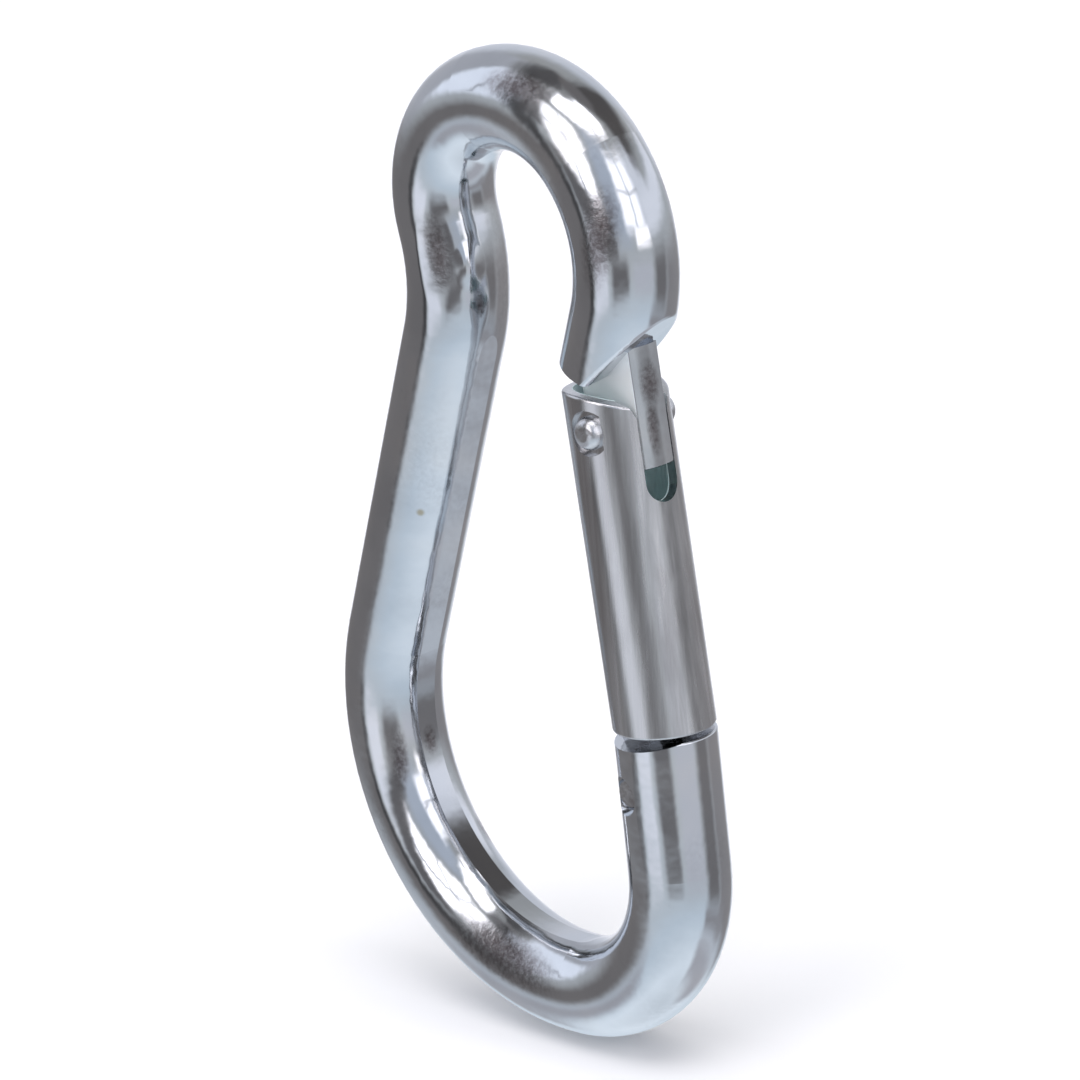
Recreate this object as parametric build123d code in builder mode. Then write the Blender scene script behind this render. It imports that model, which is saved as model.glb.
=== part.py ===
"""Spring snap hook bent from round wire: pear-shaped eye, sprung gate that swings inwards.

The hook lies in the XZ plane. +Z runs along the load line towards the narrow end, where the gate
opens, and +X points to the gate side. The origin is the upper load seat: the top of the eye, on
the inner surface of the wire.
"""

import os
from math import atan2, cos, degrees, radians, sin

from build123d import *

os.makedirs("parts", exist_ok=True)

# Wire and its centreline, in order from the seam below the gate, round the wide bow, up the
# spine and round the crown to the nose. Each bend is (radius, degrees of turn).
wire_d = 8.0
leg_lean = 2.2
leg_length = 11.1
bow_bends = ((12.3, 86.4), (19.35, 117.1))
spine_length = 27.8
waist_bend = (14.8, 35.9)
crown_bends = ((8.4, 89.9), (10.55, 66.7), (11.9, 58.6))
nose_run = 4.65
die_flat_w = 1.9
die_reach = 1.0
die_toe = (9.0, 40)
die_waist_run = 4.0

# Gate: a round bar, bored from the top, slotted on its outer side for the nose.
gate_d = 8.0
seam_gap = 0.4
rim_gap = 1.0
rim_round = 11.5
rim_level = 2.0
rim_turn = 38.0
rim_edge_round = 0.2
gate_bore_d = 6.2
gate_bore_depth = 14.0
gate_slot_length = 9.0
slot_mouth_flare = 0.25
slot_mouth_depth = 0.6

# Nose: the end of the wire, cut back to a flat tongue with a notch for the latch pin.
tongue_w = 3.0
tongue_gap = 0.1
tongue_edge_round = 0.2
tongue_reach = 6.2
tongue_back = 2.0
shoulder_flat = 0.9
shoulder_slope = 36.0
shoulder_skew = 9.0
shoulder_round = 0.5
notch_gap = 0.15
notch_flare = 7.0

# Latch pin, riveted across the gate's slot.
latch_pin_d = 2.0
latch_pin_depth = 3.0
latch_pin_offset = 0.6
latch_head_d = 2.6
latch_head_proud = 0.5
latch_head_round = 0.8
latch_seat_d = 3.5
latch_seat_cut = 0.42

# Hinge: the gate's lug stands in a slot in the leg, on a pin set towards the eye.
hinge_pin_d = 2.5
hinge_depth = 4.55
hinge_offset = 1.5
hinge_slot_w = 3.0
hinge_clearance = 0.05
pin_chamfer = 0.2
hinge_seat_d = 3.1
hinge_seat_cut = 0.9
lug_gap = 0.1
lug_wall = 0.8
heel_drop = 2.0
heel_half_w = 1.3
heel_gap = 0.02
sweep_gap = 0.3

# Plunger and spring, in a blind bore down the leg under the lug.
plunger_clearance = 0.05
plunger_head_length = 2.6
plunger_stem_d = 1.1
plunger_stem_length = 3.0
spring_wire_d = 0.55
spring_gap = 0.12
spring_end_gap = 0.02
spring_length = 6.5
spring_coils = 6.5

edge_round = 0.2

wire_r = wire_d / 2
gate_r = gate_d / 2
cut_reach = 2 * wire_d


def lay_run(start, heading, bends):
    """Adds tangent bends, clockwise ones with a negative turn, and returns the last of them."""
    run = JernArc(start, heading, bends[0][0], bends[0][1])
    for radius, turn in bends[1:]:
        run = JernArc(run @ 1, run % 1, radius, turn)
    return run


def clockwise(bends):
    """The same bends, turning the other way."""
    return [(radius, -turn) for radius, turn in bends]


def lay_centreline(plane):
    """Lays the centreline from the seam and returns its leg-and-bow, spine and crown stretches."""
    leg_end = (leg_length * sin(radians(leg_lean)), -leg_length * cos(radians(leg_lean)))
    with BuildLine(plane) as leg:
        down = Line((0, 0), leg_end)
        toe = lay_run(down @ 1, down % 1, clockwise(bow_bends[:1]))
    with BuildLine(plane) as spine:
        heel = lay_run(toe @ 1, toe % 1, clockwise(bow_bends[1:]))
        back = Line(heel @ 1, heel @ 1 + spine_length * (heel % 1))
    with BuildLine(plane) as crown:
        waist = lay_run(back @ 1, back % 1, [waist_bend])
        top = lay_run(waist @ 1, waist % 1, clockwise(crown_bends))
        Line(top @ 1, top @ 1 + nose_run * (top % 1))
    return leg.line, spine.line, crown.line


# The crown's middle bend carries the highest point of the eye. The hook is laid out so that this
# point, on the inner surface of the wire, is the origin.
trial_crown = lay_centreline(Plane.XZ)[2]
middle_bend = [edge for edge in trial_crown.edges() if edge.geom_type == GeomType.CIRCLE][2]
apex = middle_bend.arc_center + Vector(0, 0, middle_bend.radius - wire_r)
seam = Vector(-apex.X, 0, -apex.Z)
hook_plane = Plane(origin=seam, x_dir=(1, 0, 0), z_dir=(0, -1, 0))
leg_line, spine_line, crown_line = lay_centreline(hook_plane)


def side_view(up):
    """A side view with its origin at the seam, x away from the eye and y along up."""
    return Plane(origin=seam, x_dir=(up.Z, 0, -up.X), z_dir=(0, -1, 0))


def across(side, x, y):
    """A plane square to a side view's y axis at one of its points, with x out and y along +Y."""
    up = side.y_dir
    return Plane(origin=side.from_local_coords((x, y, 0)), x_dir=side.x_dir, z_dir=up)


# The gate runs from the seam to the nose.
gate_run = crown_line @ 1 - seam
gate_side = side_view(gate_run.normalized())
rim_y = gate_run.length - rim_gap
latch_y = rim_y - latch_pin_depth
tongue_end_y = rim_y - tongue_reach
slot_end_y = rim_y - gate_slot_length
gate_slot_w = tongue_w + 2 * tongue_gap
rim_drop = rim_round - (rim_round**2 - (gate_r + rim_level) ** 2) ** 0.5
slot_mouth_y = rim_y - rim_drop - slot_mouth_depth
slot_mouth_angle = degrees(atan2(slot_mouth_depth, slot_mouth_flare))

# The hinge, plunger and spring stand in the leg.
leg_side = side_view(-(leg_line % 0))
hinge_bore_r = hinge_pin_d / 2 + hinge_clearance
lug_r = hinge_bore_r + lug_wall
lug_w = hinge_slot_w - 2 * lug_gap
heel_r = (heel_half_w**2 + heel_drop**2) ** 0.5
slot_floor_y = -hinge_depth - heel_r - sweep_gap
plunger_r = hinge_slot_w / 2 - plunger_clearance
plunger_top_y = -hinge_depth - heel_drop - heel_gap
plunger_foot_y = plunger_top_y - plunger_head_length
spring_foot_y = plunger_foot_y - spring_length
slot_back_x = heel_r + sweep_gap - hinge_offset
hinge_at = (-hinge_offset, -hinge_depth)
latch_at = (latch_pin_offset, latch_y)
latch_seat_y = gate_r - latch_seat_cut
latch_head_h = latch_seat_cut + latch_head_proud
nose_y = rim_y + rim_gap
nose_end = gate_side.from_local_coords((shoulder_flat, nose_y, 0))
shoulder_dir = Vector(0, 1, 0) + sin(radians(shoulder_skew)) * gate_side.y_dir
notch_r = latch_pin_d / 2 + notch_gap
spring_r = hinge_slot_w / 2 - spring_gap - spring_wire_d / 2
spring_pitch = (spring_length - spring_wire_d - 2 * spring_end_gap) / spring_coils

# The die presses a flat along the inside of the bow and the spine. It runs out where the die
# bends tighter than the toe of the bow, and where it goes straight on at the waist.
flat_y = (wire_r**2 - (die_flat_w / 2) ** 2) ** 0.5
die_start = Plane(origin=spine_line @ 0, x_dir=(0, 1, 0), z_dir=spine_line % 0)
die_end = Plane(origin=spine_line @ 1, x_dir=(0, 1, 0), z_dir=spine_line % 1)
with BuildLine(hook_plane) as die_toe_line:
    JernArc(spine_line @ 0, -(spine_line % 0), *die_toe)
with BuildLine(hook_plane) as die_waist_line:
    Line(spine_line @ 1, spine_line @ 1 + die_waist_run * (spine_line % 1))
die_runs = (
    (die_start, die_toe_line.line),
    (die_start, spine_line),
    (die_end, die_waist_line.line),
)

# Hook body: bent wire.
with BuildPart() as hook_body:
    for line in (leg_line, spine_line, crown_line):
        with BuildSketch(Plane(origin=line @ 0, x_dir=(0, 1, 0), z_dir=line % 0)):
            Circle(wire_r)
        sweep(path=line)
    for start, line in die_runs:
        with BuildSketch(start):
            with Locations((0, -flat_y)):
                Rectangle(2 * die_flat_w, die_reach, align=(Align.CENTER, Align.MAX))
        sweep(path=line, mode=Mode.SUBTRACT)
    fillet(hook_body.faces().sort_by_distance(seam)[0].edges(), edge_round)
    # The shoulder: level under the nose, then rising towards the outer side. The cut is skewed, so
    # that it also rises towards +Y.
    with BuildSketch(gate_side):
        with BuildLine():
            level = Line((-cut_reach / 2, nose_y), (shoulder_flat, nose_y))
            rise = PolarLine(level @ 1, cut_reach, shoulder_slope)
            Polyline(rise @ 1, (cut_reach, 0), (-cut_reach / 2, 0), level @ 0)
        make_face()
    extrude(amount=wire_d, dir=shoulder_dir, both=True, mode=Mode.SUBTRACT)
    nose_faces = hook_body.faces().sort_by_distance(nose_end)[:2]
    fillet(nose_faces[0].edges() + nose_faces[1].edges(), shoulder_round)
    # The tongue: the last of the wire, milled to two flats, with the wire's own outer side.
    with BuildSketch(across(gate_side, 0, tongue_end_y)) as tongue:
        Circle(wire_r)
        with Locations((-tongue_back, 0)):
            Rectangle(wire_d, tongue_w, align=(Align.MIN, Align.CENTER), mode=Mode.INTERSECT)
        fillet(tongue.vertices(), tongue_edge_round)
    extrude(amount=nose_y + wire_r / 2 - tongue_end_y)
    # The notch that hangs on the latch pin, open towards the eye.
    with BuildSketch(gate_side):
        with BuildLine():
            root = CenterArc(latch_at, notch_r, notch_flare - 90, 180 - 2 * notch_flare)
            low = PolarLine(root @ 0, wire_d, 180 + notch_flare)
            high = PolarLine(root @ 1, wire_d, 180 - notch_flare)
            Line(low @ 1, high @ 1)
        make_face()
    extrude(amount=tongue_w, both=True, mode=Mode.SUBTRACT)
    # The hinge slot, open upwards and towards the eye, and the plunger's bore below it.
    with BuildSketch(leg_side):
        with Locations((slot_back_x, slot_floor_y)):
            Rectangle(wire_d, cut_reach, align=(Align.MAX, Align.MIN))
    extrude(amount=hinge_slot_w / 2, both=True, mode=Mode.SUBTRACT)
    with BuildSketch(across(leg_side, -hinge_offset, slot_floor_y)):
        Circle(hinge_slot_w / 2)
    extrude(amount=spring_foot_y - slot_floor_y, mode=Mode.SUBTRACT)
    # The hinge pin's hole, with a flat seat at each end.
    with BuildSketch(leg_side):
        with Locations(hinge_at):
            Circle(hinge_pin_d / 2)
    extrude(amount=wire_d, both=True, mode=Mode.SUBTRACT)
    for side in (-1, 1):
        with BuildSketch(leg_side.offset(side * (wire_r - hinge_seat_cut))):
            with Locations(hinge_at):
                Circle(hinge_seat_d / 2)
        extrude(amount=side * wire_d, mode=Mode.SUBTRACT)

# Gate: bar with a rounded-off rim, a bore, a slot for the tongue and a lug for the hinge.
with BuildPart() as gate:
    with BuildSketch(across(gate_side, 0, -gate_d)):
        Circle(gate_r)
    extrude(amount=rim_y + gate_d)
    split(bisect_by=across(leg_side, 0, seam_gap), keep=Keep.TOP)
    fillet(gate.edges().filter_by(GeomType.LINE, reverse=True).sort_by(Axis.Z)[0], edge_round)
    with BuildSketch(gate_side):
        with BuildLine():
            start = Line((-gate_d, rim_y), (-rim_level, rim_y))
            fall = JernArc(start @ 1, start % 1, rim_round, -rim_turn)
            Polyline(
                fall @ 1,
                (gate_d, rim_y),
                (gate_d, rim_y + gate_d),
                (-gate_d, rim_y + gate_d),
                start @ 0,
            )
        make_face()
    extrude(amount=gate_d, both=True, mode=Mode.SUBTRACT)
    rim_edges = gate.edges().filter_by(GeomType.LINE, reverse=True).filter_by(
        lambda edge: gate_side.to_local_coords(edge.center()).Y > rim_y / 2
    )
    fillet(rim_edges, rim_edge_round)
    with BuildSketch(across(gate_side, 0, rim_y - gate_bore_depth)):
        Circle(gate_bore_d / 2)
    extrude(amount=gate_bore_depth + gate_d, mode=Mode.SUBTRACT)
    slot_face = Plane(origin=seam, x_dir=(0, 1, 0), z_dir=gate_side.x_dir)
    with BuildSketch(slot_face):
        with Locations((0, slot_end_y + gate_slot_w / 2)):
            Circle(gate_slot_w / 2)
            Rectangle(gate_slot_w, cut_reach, align=(Align.CENTER, Align.MIN))
        with Locations((0, slot_mouth_y)):
            mouth_top_w = gate_slot_w + 2 * slot_mouth_flare * gate_d / slot_mouth_depth
            Trapezoid(
                mouth_top_w,
                gate_d,
                slot_mouth_angle,
                rotation=180,
                align=(Align.CENTER, Align.MAX),
            )
    extrude(amount=gate_d, mode=Mode.SUBTRACT)
    with BuildSketch(gate_side):
        with Locations(latch_at):
            Circle(latch_pin_d / 2)
    extrude(amount=gate_d, both=True, mode=Mode.SUBTRACT)
    for side in (-1, 1):
        with BuildSketch(gate_side.offset(side * (gate_r - latch_seat_cut))):
            with Locations(latch_at):
                Circle(latch_seat_d / 2)
        extrude(amount=side * gate_d, mode=Mode.SUBTRACT)
    # The lug, with a square heel for the plunger.
    with BuildSketch(leg_side):
        with BuildLine():
            Polyline(
                (-hinge_offset - lug_r, seam_gap + lug_r),
                (-hinge_offset - lug_r, -hinge_depth),
                (-hinge_offset - heel_half_w, -hinge_depth - heel_drop),
                (-hinge_offset + heel_half_w, -hinge_depth - heel_drop),
                (-hinge_offset + lug_r, -hinge_depth),
                (-hinge_offset + lug_r, seam_gap + lug_r),
                close=True,
            )
        make_face()
        with Locations(hinge_at):
            Circle(hinge_bore_r, mode=Mode.SUBTRACT)
    extrude(amount=lug_w / 2, both=True)

# Latch pin: a rivet with a domed head on each seat.
with BuildPart() as latch_pin:
    with BuildSketch(gate_side):
        with Locations(latch_at):
            Circle(latch_pin_d / 2)
    extrude(amount=latch_seat_y, both=True)
    for side in (-1, 1):
        head_plane = gate_side.offset(side * latch_seat_y)
        with BuildSketch(head_plane):
            with Locations(latch_at):
                Circle(latch_head_d / 2)
        extrude(amount=side * latch_head_h)
    fillet(latch_pin.edges().filter_by(GeomType.CIRCLE).group_by(Axis.Y)[0], latch_head_round)
    fillet(latch_pin.edges().filter_by(GeomType.CIRCLE).group_by(Axis.Y)[-1], latch_head_round)

# Hinge pin: pressed into the leg, its ends level with their seats.
with BuildPart() as hinge_pin:
    with BuildSketch(leg_side):
        with Locations(hinge_at):
            Circle(hinge_pin_d / 2)
    extrude(amount=wire_r - hinge_seat_cut, both=True)
    chamfer(hinge_pin.edges().filter_by(GeomType.CIRCLE), pin_chamfer)

# Plunger: a head that bears on the heel and a stem that centres the spring.
with BuildPart() as plunger:
    with BuildSketch(across(leg_side, -hinge_offset, plunger_foot_y)):
        Circle(plunger_r)
    extrude(amount=plunger_head_length)
    with BuildSketch(across(leg_side, -hinge_offset, plunger_foot_y)):
        Circle(plunger_stem_d / 2)
    extrude(amount=-plunger_stem_length)

# Spring: a plain coil between the plunger and the foot of its bore.
with BuildPart() as spring:
    foot = across(leg_side, -hinge_offset, spring_foot_y + spring_wire_d / 2 + spring_end_gap)
    with BuildLine(foot) as coil:
        Helix(spring_pitch, spring_pitch * spring_coils, spring_r, direction=foot.z_dir)
    with BuildSketch(Plane(origin=coil.line @ 0, z_dir=coil.line % 0)):
        Circle(spring_wire_d / 2)
    sweep(path=coil.line)

pieces = {
    "hook_body": hook_body,
    "gate": gate,
    "latch_pin": latch_pin,
    "hinge_pin": hinge_pin,
    "plunger": plunger,
    "closing_spring": spring,
}
for name, piece in pieces.items():
    piece.part.label = name
    export_step(piece.part, f"parts/{name}.step")
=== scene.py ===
from math import cos, pi, radians, sin

import bpy
from mathutils import Matrix, Vector


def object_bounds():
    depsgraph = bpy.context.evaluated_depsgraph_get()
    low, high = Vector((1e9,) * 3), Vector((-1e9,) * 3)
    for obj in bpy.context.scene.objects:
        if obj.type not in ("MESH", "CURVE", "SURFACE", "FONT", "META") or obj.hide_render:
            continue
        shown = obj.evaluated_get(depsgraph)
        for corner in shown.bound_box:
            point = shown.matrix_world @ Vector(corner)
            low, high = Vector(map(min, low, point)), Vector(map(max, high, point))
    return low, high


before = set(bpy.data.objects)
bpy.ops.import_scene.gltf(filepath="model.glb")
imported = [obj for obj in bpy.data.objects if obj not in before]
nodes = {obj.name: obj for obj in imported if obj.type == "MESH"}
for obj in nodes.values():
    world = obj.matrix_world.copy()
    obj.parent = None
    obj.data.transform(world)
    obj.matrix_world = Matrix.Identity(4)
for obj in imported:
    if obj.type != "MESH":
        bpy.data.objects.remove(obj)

cad_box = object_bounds()
bpy.ops.object.select_all(action="DESELECT")

# Camera. It looks at the gate side of the hook from a little above, and leans slightly.
camera_turn = radians(48.31)
camera_rise = radians(17.275)
camera_lean = radians(-4.78)
camera_distance = 0.352994
camera_target = Vector((-0.001247, 0, -0.03107))
camera_lens = 151.93

towards_camera = Vector(
    (
        sin(camera_turn) * cos(camera_rise),
        -cos(camera_turn) * cos(camera_rise),
        sin(camera_rise),
    )
)
level_right = Vector((cos(camera_turn), sin(camera_turn), 0))
level_up = towards_camera.cross(level_right)
image_right = cos(camera_lean) * level_right + sin(camera_lean) * level_up
image_up = cos(camera_lean) * level_up - sin(camera_lean) * level_right
bpy.ops.object.camera_add(location=camera_target + camera_distance * towards_camera)
camera = bpy.context.object
camera.name = "camera"
camera.data.lens = camera_lens
camera.data.sensor_width = 36
camera.data.clip_start = 0.01
camera.data.clip_end = 20
camera.rotation_euler = Matrix((image_right, image_up, towards_camera)).transposed().to_euler()
bpy.context.scene.camera = camera

# Studio. A pale table stands in a room with soft windows, a lit ceiling panel and a few dark
# cards. The room is one world shader: each card is laid over the ones before it.
floor_size = 6
floor_drop = 0.0002
lamp_height = 1.6
lamp_width = 2.4
lamp_power = 14
green_share = 0.975
room_contrast = 1.32
room_brightness = 1.14
room = bpy.data.worlds.new("studio")
room.use_nodes = True
bpy.context.scene.world = room
room_nodes = room.node_tree.nodes
room_links = room.node_tree.links
room_nodes.clear()


def room_math(operation, *values):
    """Adds a math node to the room, fed by other nodes' outputs or by numbers."""
    node = room_nodes.new("ShaderNodeMath")
    node.operation = operation
    for socket, value in zip(node.inputs, values):
        if isinstance(value, bpy.types.NodeSocket):
            room_links.new(value, socket)
        else:
            socket.default_value = value
    return node.outputs[0]


def band(angle, middle, half_width, softness):
    """One within half_width of the middle angle, falling softly to nothing past it."""
    away = room_math("ABSOLUTE", room_math("WRAP", room_math("SUBTRACT", angle, middle), pi, -pi))
    fall = room_nodes.new("ShaderNodeMapRange")
    fall.interpolation_type = "SMOOTHSTEP"
    fall.inputs["From Min"].default_value = half_width + softness
    fall.inputs["From Max"].default_value = half_width - softness
    room_links.new(away, fall.inputs["Value"])
    return fall.outputs["Result"]


direction = room_nodes.new("ShaderNodeSeparateXYZ")
room_links.new(room_nodes.new("ShaderNodeTexCoord").outputs["Generated"], direction.inputs[0])
turn = room_math(
    "ARCTAN2", direction.outputs["X"], room_math("MULTIPLY", direction.outputs["Y"], -1)
)
rise = room_math("ARCSINE", direction.outputs["Z"])
light = room_nodes.new("ShaderNodeValToRGB")
room_links.new(room_math("MULTIPLY_ADD", rise, 1 / pi, 0.5), light.inputs["Fac"])
walls = (
    (0.0, 0.78, 0.88),
    (0.16, 0.9, 1.02),
    (0.3, 0.7, 0.84),
    (0.42, 0.64, 0.68),
    (0.5, 0.56, 0.6),
    (1.0, 0.42, 0.42),
)
while len(light.color_ramp.elements) < len(walls):
    light.color_ramp.elements.new(0.5)
for stop, (place, warm, cool) in zip(light.color_ramp.elements, walls):
    stop.position = place
    stop.color = (warm, (warm + cool) / 2, cool, 1)
shade = light.outputs["Color"]

# Each card: turn from the camera, rise, width, height, softness (degrees), red and blue light.
cards = (
    (178, -6, 40, 40, 8, 0.9, 0.95),
    (180, 12, 70, 50, 12, 0.72, 0.8),
    (-144, 30, 44, 60, 8, 0.55, 0.6),
    (-106, 33, 38, 46, 5, 0.95, 1.08),
    (0, 30, 40, 56, 10, 0.58, 0.7),
    (-47, 29, 38, 44, 5, 1.9, 1.9),
    (36, 26, 50, 36, 5, 1.45, 1.5),
    (35, 30, 3, 46, 1.5, 0.7, 0.8),
    (71, 24, 34, 38, 6, 0.82, 0.9),
    (44, 4, 32, 8, 3, 1.5, 1.5),
    (110, 52, 62, 40, 8, 0.17, 0.16),
    (122, 76, 96, 20, 6, 0.26, 0.25),
    (-144, 76, 110, 28, 8, 0.17, 0.17),
    (-76, 38, 16, 40, 4, 0.24, 0.24),
    (-78, 62, 40, 12, 5, 0.3, 0.3),
    (2, 70, 118, 22, 4, 2.2, 2.2),
    (100, 12, 76, 16, 5, 0.88, 0.96),
    (-82, 28, 9, 70, 4, 0.12, 0.12),
    (-44, 1, 60, 15, 4, 0.24, 0.24),
    (-122, -14, 84, 24, 8, 0.28, 0.27),
    (-115, -40, 80, 18, 8, 0.52, 0.56),
    (-57, -15, 30, 13, 5, 0.92, 1.0),
    (-14, -15, 36, 14, 6, 0.26, 0.26),
    (36, -16, 44, 14, 6, 0.66, 0.72),
    (79, -18, 34, 26, 8, 0.29, 0.29),
    (124, -24, 56, 34, 8, 0.38, 0.38),
    (86, -38, 60, 12, 6, 0.42, 0.44),
    (96, -60, 90, 26, 10, 0.56, 0.6),
    (-82, 5, 9, 50, 4, 0.13, 0.13),
    (-50, 29, 2.5, 44, 1, 0.45, 0.5),
    (-47, 31, 38, 2, 1, 0.6, 0.65),
    (21, 70, 5, 24, 1.5, 0.4, 0.4),
    (36, 25, 50, 2, 1, 0.65, 0.7),
    (-100, 34, 2.5, 44, 1, 0.5, 0.55),
)
for card_turn, card_rise, width, height, softness, warm, cool in cards:
    across_card = band(turn, camera_turn + radians(card_turn), radians(width / 2), radians(softness))
    up_card = band(rise, radians(card_rise), radians(height / 2), radians(softness))
    lay = room_nodes.new("ShaderNodeMix")
    lay.data_type = "RGBA"
    room_links.new(room_math("MULTIPLY", across_card, up_card), lay.inputs["Factor"])
    room_links.new(shade, lay.inputs[6])
    lay.inputs[7].default_value = (warm, green_share * (warm + cool) / 2, cool, 1)
    shade = lay.outputs[2]
contrast = room_nodes.new("ShaderNodeGamma")
contrast.inputs["Gamma"].default_value = room_contrast
room_links.new(shade, contrast.inputs["Color"])
glow = room_nodes.new("ShaderNodeBackground")
glow.inputs["Strength"].default_value = room_brightness
room_links.new(contrast.outputs[0], glow.inputs["Color"])
room_links.new(glow.outputs[0], room_nodes.new("ShaderNodeOutputWorld").inputs["Surface"])
bpy.context.scene.view_settings.view_transform = "Standard"

# A lamp above lights the table evenly, without a reflection of its own.
bpy.ops.object.light_add(type="AREA", location=(0, 0, lamp_height))
lamp = bpy.context.object
lamp.name = "table_lamp"
lamp.data.shape = "DISK"
lamp.data.size = lamp_width
lamp.data.energy = lamp_power
lamp.visible_glossy = False

bpy.ops.mesh.primitive_plane_add(
    size=floor_size, location=(0, 0, cad_box[0].z - floor_drop)
)
floor = bpy.context.object
floor.name = "floor"
floor.visible_glossy = False
paper = bpy.data.materials.new("white_paper")
paper.use_nodes = True
paper.node_tree.nodes["Principled BSDF"].inputs["Base Color"].default_value = (0.95, 0.95, 0.95, 1)
paper.node_tree.nodes["Principled BSDF"].inputs["Roughness"].default_value = 0.9
paper.node_tree.nodes["Principled BSDF"].inputs["Specular IOR Level"].default_value = 0
floor.data.materials.append(paper)

# Hook body. One length of round steel wire, bent in a die and plated with bright zinc. The
# plating is smooth on the long runs, and speckled and pitted where the bends stretched it.
milled_reach = 0.0016
milled_square = 0.97


def new_finish(name):
    """Makes an empty metal finish and returns its material, nodes, links and shader."""
    finish = bpy.data.materials.new(name)
    finish.use_nodes = True
    tree = finish.node_tree
    shader = tree.nodes["Principled BSDF"]
    shader.inputs["Metallic"].default_value = 1
    return finish, tree.nodes, tree.links, shader


def grain(nodes, links, scale, detail, stretch=(1, 1, 1), turn=(0, 0, 0), roughness=0.5):
    """Adds noise on Object coordinates, finer across than along where it is stretched."""
    where = nodes.new("ShaderNodeMapping")
    where.inputs["Scale"].default_value = stretch
    where.inputs["Rotation"].default_value = turn
    links.new(nodes.new("ShaderNodeTexCoord").outputs["Object"], where.inputs["Vector"])
    noise = nodes.new("ShaderNodeTexNoise")
    noise.inputs["Scale"].default_value = scale
    noise.inputs["Detail"].default_value = detail
    noise.inputs["Roughness"].default_value = roughness
    links.new(where.outputs["Vector"], noise.inputs["Vector"])
    return noise.outputs["Fac"]


def ramp(nodes, links, value, *stops):
    """Turns a value into colours or greys. Each stop is its place and its colour."""
    tones = nodes.new("ShaderNodeValToRGB")
    while len(tones.color_ramp.elements) < len(stops):
        tones.color_ramp.elements.new(0.5)
    for stop, (place, colour) in zip(tones.color_ramp.elements, stops):
        stop.position = place
        stop.color = (*colour, 1) if isinstance(colour, tuple) else (colour, colour, colour, 1)
    links.new(value, tones.inputs["Fac"])
    return tones.outputs["Color"]


def mixed(nodes, links, factor, first, second):
    """Mixes two colours, each a socket or a colour, by a factor."""
    mix = nodes.new("ShaderNodeMix")
    mix.data_type = "RGBA"
    inputs = (mix.inputs["Factor"], mix.inputs[6], mix.inputs[7])
    for socket, value in zip(inputs, (factor, first, second)):
        if isinstance(value, bpy.types.NodeSocket):
            links.new(value, socket)
        elif isinstance(value, tuple):
            socket.default_value = (*value, 1)
        else:
            socket.default_value = value
    return mix.outputs[2]


def bumped(nodes, links, height, distance, strength=1.0, below=None):
    """Adds a bump from a height over another bump, and returns its normal."""
    bump = nodes.new("ShaderNodeBump")
    bump.inputs["Distance"].default_value = distance
    bump.inputs["Strength"].default_value = strength
    links.new(height, bump.inputs["Height"])
    if below is not None:
        links.new(below, bump.inputs["Normal"])
    return bump.outputs["Normal"]


def node_math(nodes, links, operation, *values):
    """Adds a math node fed by sockets or numbers."""
    node = nodes.new("ShaderNodeMath")
    node.operation = operation
    node.use_clamp = operation == "MULTIPLY"
    for socket, value in zip(node.inputs, values):
        if isinstance(value, bpy.types.NodeSocket):
            links.new(value, socket)
        else:
            socket.default_value = value
    return node.outputs[0]


def milled_faces(nodes, links):
    """One on the flats cut square to Y in the middle of the wire, nothing elsewhere."""
    where = nodes.new("ShaderNodeTexCoord")
    place = nodes.new("ShaderNodeSeparateXYZ")
    facing = nodes.new("ShaderNodeSeparateXYZ")
    links.new(where.outputs["Object"], place.inputs[0])
    links.new(where.outputs["Normal"], facing.inputs[0])
    off_middle = node_math(nodes, links, "ABSOLUTE", place.outputs["Y"])
    inside = node_math(nodes, links, "LESS_THAN", off_middle, milled_reach)
    turned_to_y = node_math(nodes, links, "ABSOLUTE", facing.outputs["Y"])
    square = node_math(nodes, links, "GREATER_THAN", turned_to_y, milled_square)
    return node_math(nodes, links, "MULTIPLY", inside, square)


def around(nodes, links, middle, radius, softness, squash=(1, 1, 1), turn=(0, 0, 0)):
    """One in a soft-edged blob round a point, nothing outside it."""
    where = nodes.new("ShaderNodeMapping")
    where.vector_type = "TEXTURE"
    where.inputs["Location"].default_value = middle
    where.inputs["Rotation"].default_value = turn
    where.inputs["Scale"].default_value = squash
    links.new(nodes.new("ShaderNodeTexCoord").outputs["Object"], where.inputs["Vector"])
    length = nodes.new("ShaderNodeVectorMath")
    length.operation = "LENGTH"
    links.new(where.outputs["Vector"], length.inputs[0])
    fall = nodes.new("ShaderNodeMapRange")
    fall.interpolation_type = "SMOOTHSTEP"
    fall.inputs["From Min"].default_value = radius + softness
    fall.inputs["From Max"].default_value = radius - softness
    links.new(length.outputs["Value"], fall.inputs["Value"])
    return fall.outputs["Result"]


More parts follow.
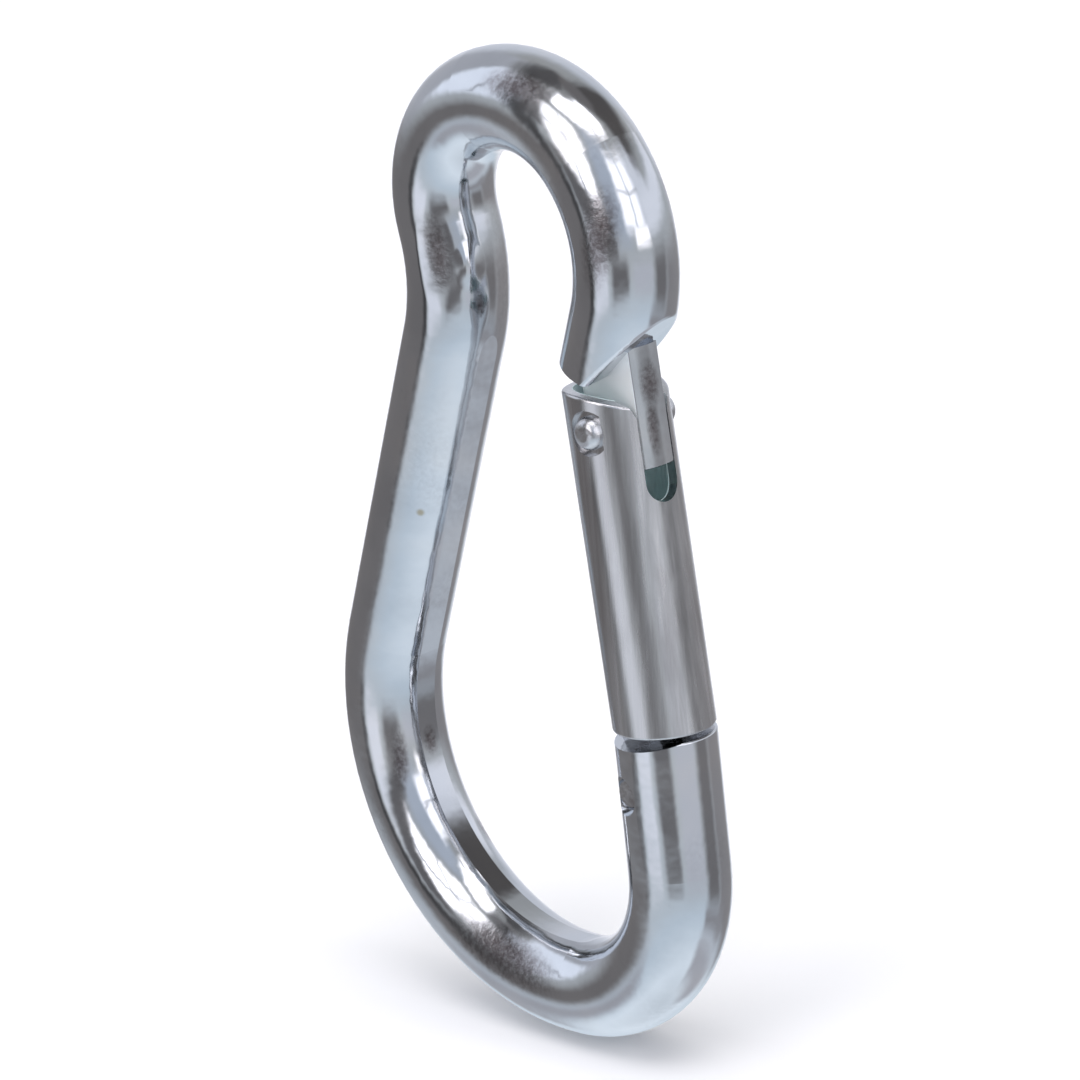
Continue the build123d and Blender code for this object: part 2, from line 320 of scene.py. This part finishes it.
# Where bending stretched and scuffed the plating: middle, radius, lengthening and lean.
worn_spots = (
    ((-0.0064, -0.0033, -0.0079), 0.0008, (0.9, 1, 2.8), (0, radians(-10), 0)),
    ((-0.0045, -0.0012, -0.0124), 0.0003, (0.8, 1, 4.0), (0, radians(-8), 0)),
    ((0.0122, -0.0037, -0.0040), 0.0011, (1, 1, 3.0), (0, radians(12), 0)),
    ((0.0040, -0.0031, 0.0059), 0.0010, (2.4, 1, 1), (0, 0, 0)),
    ((-0.0055, -0.0036, -0.0657), 0.0014, (3.0, 1, 1), (0, radians(12), 0)),
    ((-0.0166, 0.0, -0.0508), 0.0005, (1, 1, 1.8), (0, 0, 0)),
    ((-0.0174, -0.0027, -0.0519), 0.0005, (1, 1, 4.5), (0, 0, 0)),
    ((0.0125, 0.0, -0.0164), 0.0007, (1, 1, 1.8), (0, 0, 0)),
    ((0.0128, -0.0003, -0.0198), 0.0004, (1, 1, 4.5), (0, 0, 0)),
    ((0.0128, 0.0036, -0.0020), 0.0011, (1, 1, 3.0), (0, 0, 0)),
    ((-0.0150, 0.0034, -0.0600), 0.0012, (1, 1, 2.6), (0, radians(40), 0)),
)
# The die's bite at the waist: middle, radius, lengthening and height (a dent is below nothing).
die_marks = (
    ((-0.0064, -0.0033, -0.0082), 0.0011, (0.9, 1, 2.2), -0.00022),
    ((-0.0047, -0.0018, -0.0092), 0.0007, (0.8, 1, 1.6), 0.0002),
    ((-0.0045, -0.0012, -0.0122), 0.0006, (0.7, 1, 2.6), -0.00007),
)
stain_middle = (-0.01179, -0.00291, -0.02984)
stain_radius = 0.00028
wire_tints = ((0.3, (0.58, 0.605, 0.64)), (0.5, (0.63, 0.655, 0.69)), (0.7, (0.67, 0.68, 0.7)))
wire_worn_tone = (0.27, 0.25, 0.255)
wire_speck_tone = (0.19, 0.17, 0.175)
wire_stain_tone = (0.42, 0.38, 0.3)
# The milled faces are duller, rougher and partly not metal, as cut steel is; their near-white colour
# is a painted highlight that stands in for the white reflection on the tongue's cheeks.
milled_face_highlight_tone = (0.9, 0.93, 0.93)
wire_worn_share = 0.8
wire_milled_dulling = 0.6


def zinc_wire():
    """Bright zinc on the bent wire: pale blue clear coat, faint ripple, speckle and pits."""
    finish, nodes, links, shader = new_finish("zinc_wire")
    clouds = grain(nodes, links, 160, 4)
    tint = ramp(nodes, links, clouds, *wire_tints)
    worn = None
    for middle, radius, squash, lean in worn_spots:
        spot = around(nodes, links, middle, radius, radius * 0.8, squash, lean)
        worn = spot if worn is None else node_math(nodes, links, "MAXIMUM", worn, spot)
    patches = ramp(nodes, links, grain(nodes, links, 140, 4), (0.55, 0.0), (0.75, 0.14))
    scuffed = node_math(nodes, links, "MAXIMUM", worn, patches)
    dots = grain(nodes, links, 2300, 4, roughness=0.65)
    fine = ramp(nodes, links, dots, (0.38, 0.0), (0.62, 1.0))
    specks = node_math(nodes, links, "MULTIPLY", fine, scuffed)
    dimmed = node_math(nodes, links, "MULTIPLY", worn, wire_worn_share)
    shaded = mixed(nodes, links, dimmed, tint, wire_worn_tone)
    speckled = mixed(nodes, links, specks, shaded, wire_speck_tone)
    stain = around(nodes, links, stain_middle, stain_radius, stain_radius * 0.6)
    stained = mixed(nodes, links, stain, speckled, wire_stain_tone)
    # Milled faces: a real duller, less metal cut finish, with a near-white colour that is a painted
    # highlight.
    milled = milled_faces(nodes, links)
    links.new(mixed(nodes, links, milled, stained, milled_face_highlight_tone), shader.inputs["Base Color"])
    dulled = node_math(nodes, links, "MULTIPLY", milled, wire_milled_dulling)
    links.new(node_math(nodes, links, "SUBTRACT", 1, dulled), shader.inputs["Metallic"])
    gloss = ramp(nodes, links, clouds, (0.3, 0.07), (0.7, 0.14))
    worn_gloss = mixed(nodes, links, scuffed, gloss, (0.26, 0.26, 0.26))
    dull_gloss = mixed(nodes, links, milled, worn_gloss, (0.36, 0.36, 0.36))
    links.new(dull_gloss, shader.inputs["Roughness"])
    ripple = bumped(nodes, links, grain(nodes, links, 210, 3), 0.0004, 0.2)
    pressed = ripple
    for middle, radius, squash, height in die_marks:
        mark = around(nodes, links, middle, radius, radius, squash)
        pressed = bumped(nodes, links, mark, height, 1.0, pressed)
    links.new(bumped(nodes, links, specks, -0.00003, 0.3, pressed), shader.inputs["Normal"])
    return finish


nodes["hook_body"].data.materials[0] = zinc_wire()

# Closing spring. A close coil of hard spring wire, oiled but not plated. It stands in the blind
# bore down the leg and pushes the plunger up, which closes the gate.


def drawn_steel(name, tone, roughness):
    """Bare steel with faint cloudy colour and fine drawing marks."""
    finish, nodes, links, shader = new_finish(name)
    clouds = grain(nodes, links, 900, 4)
    darker = tuple(0.8 * part for part in tone)
    links.new(ramp(nodes, links, clouds, (0.35, darker), (0.65, tone)), shader.inputs["Base Color"])
    links.new(
        ramp(nodes, links, clouds, (0.3, roughness), (0.7, 1.4 * roughness)),
        shader.inputs["Roughness"],
    )
    marks = grain(nodes, links, 6000, 2, stretch=(1, 1, 0.1))
    links.new(bumped(nodes, links, marks, 0.00001, 0.4), shader.inputs["Normal"])
    return finish


nodes["closing_spring"].data.materials[0] = drawn_steel("spring_wire", (0.42, 0.42, 0.43), 0.22)

# Plunger. A turned steel peg, left plain. It stands on the spring in the same bore, with its
# top against the heel of the gate's lug.
nodes["plunger"].data.materials[0] = drawn_steel("turned_steel", (0.52, 0.52, 0.53), 0.25)

# Gate. A drawn bar, bored and slotted, and plated duller than the wire. Drawing left fine lines
# along it. The bore is matt and not metal, and its pale green is painted light that brightens the
# hollow and tints it cyan.
gate_foot = (0.0113, 0, -0.0441)
gate_lean = radians(-5.8)
gate_bore_radius = 0.0032
gate_solid_length = 0.005
gate_tints = ((0.3, (0.5, 0.505, 0.52)), (0.5, (0.6, 0.605, 0.62)), (0.7, (0.7, 0.705, 0.72)))
gate_streak_tone = (0.36, 0.35, 0.36)
gate_blotch_tone = (0.44, 0.43, 0.44)
# The bore's pale green is painted light: a near-white tint that brightens the hollow and colours it
# cyan.
bore_painted_light_tone = (0.8, 0.96, 0.95)


def zinc_bar():
    """Duller zinc on the gate: draw lines along the bar, grey blotches, and a matt bore painted pale
    green as painted light.
    """
    finish, nodes, links, shader = new_finish("zinc_bar")
    along = {"turn": (0, gate_lean, 0)}
    lines = grain(nodes, links, 1100, 5, stretch=(1, 1, 0.02), roughness=0.62, **along)
    streaks = grain(nodes, links, 420, 3, stretch=(1, 1, 0.03), **along)
    blotches = grain(nodes, links, 500, 4, stretch=(1, 1, 0.3), **along)
    tint = ramp(nodes, links, lines, *gate_tints)
    streaky = ramp(nodes, links, streaks, (0.5, 0.0), (0.66, 0.5))
    streaked = mixed(nodes, links, streaky, tint, gate_streak_tone)
    blotchy = ramp(nodes, links, blotches, (0.48, 0.0), (0.7, 0.45))
    dull = mixed(nodes, links, blotchy, streaked, gate_blotch_tone)
    place = nodes.new("ShaderNodeMapping")
    place.vector_type = "TEXTURE"
    place.inputs["Location"].default_value = gate_foot
    place.inputs["Rotation"].default_value = (0, gate_lean, 0)
    links.new(nodes.new("ShaderNodeTexCoord").outputs["Object"], place.inputs["Vector"])
    flat = nodes.new("ShaderNodeVectorMath")
    flat.operation = "MULTIPLY"
    flat.inputs[1].default_value = (1, 1, 0)
    links.new(place.outputs["Vector"], flat.inputs[0])
    off_axis = nodes.new("ShaderNodeVectorMath")
    off_axis.operation = "LENGTH"
    links.new(flat.outputs["Vector"], off_axis.inputs[0])
    near_axis = node_math(nodes, links, "LESS_THAN", off_axis.outputs["Value"], gate_bore_radius)
    height = nodes.new("ShaderNodeSeparateXYZ")
    links.new(place.outputs["Vector"], height.inputs[0])
    above_lug = node_math(nodes, links, "GREATER_THAN", height.outputs["Z"], gate_solid_length)
    inside = node_math(nodes, links, "MULTIPLY", near_axis, above_lug)
    # Inside the bore: matt, not metal, and painted pale green, a painted light that brightens the
    # hollow.
    links.new(mixed(nodes, links, inside, dull, bore_painted_light_tone), shader.inputs["Base Color"])
    links.new(node_math(nodes, links, "SUBTRACT", 1, inside), shader.inputs["Metallic"])
    gloss = ramp(nodes, links, lines, (0.3, 0.16), (0.7, 0.3))
    links.new(mixed(nodes, links, inside, gloss, (0.55, 0.55, 0.55)), shader.inputs["Roughness"])
    drawn = bumped(nodes, links, lines, 0.00003, 0.5)
    links.new(bumped(nodes, links, blotches, 0.0001, 0.2, drawn), shader.inputs["Normal"])
    return finish


nodes["gate"].data.materials[0] = zinc_bar()

# Hinge pin. A short plated steel pin. It is pressed into the leg across the hinge slot, and the
# gate's lug turns on it.


def zinc_pin(name, hammer_scale, hammer_depth, smoothest, roughest):
    """Bright zinc on a pin, with the soft dimples that closing it left."""
    finish, nodes, links, shader = new_finish(name)
    clouds = grain(nodes, links, 700, 4)
    links.new(
        ramp(nodes, links, clouds, (0.35, (0.5, 0.5, 0.52)), (0.65, (0.7, 0.71, 0.73))),
        shader.inputs["Base Color"],
    )
    links.new(
        ramp(nodes, links, clouds, (0.3, smoothest), (0.7, roughest)), shader.inputs["Roughness"]
    )
    dimples = grain(nodes, links, hammer_scale, 2)
    links.new(bumped(nodes, links, dimples, hammer_depth, 0.5), shader.inputs["Normal"])
    return finish


nodes["hinge_pin"].data.materials[0] = zinc_pin("zinc_hinge_pin", 900, 0.0001, 0.14, 0.26)

# Latch pin. A rivet across the gate's slot, its two heads hammered to domes in their seats. The
# tongue hangs on it when the hook is loaded.
nodes["latch_pin"].data.materials[0] = zinc_pin("zinc_rivet", 1100, 0.00012, 0.22, 0.36)
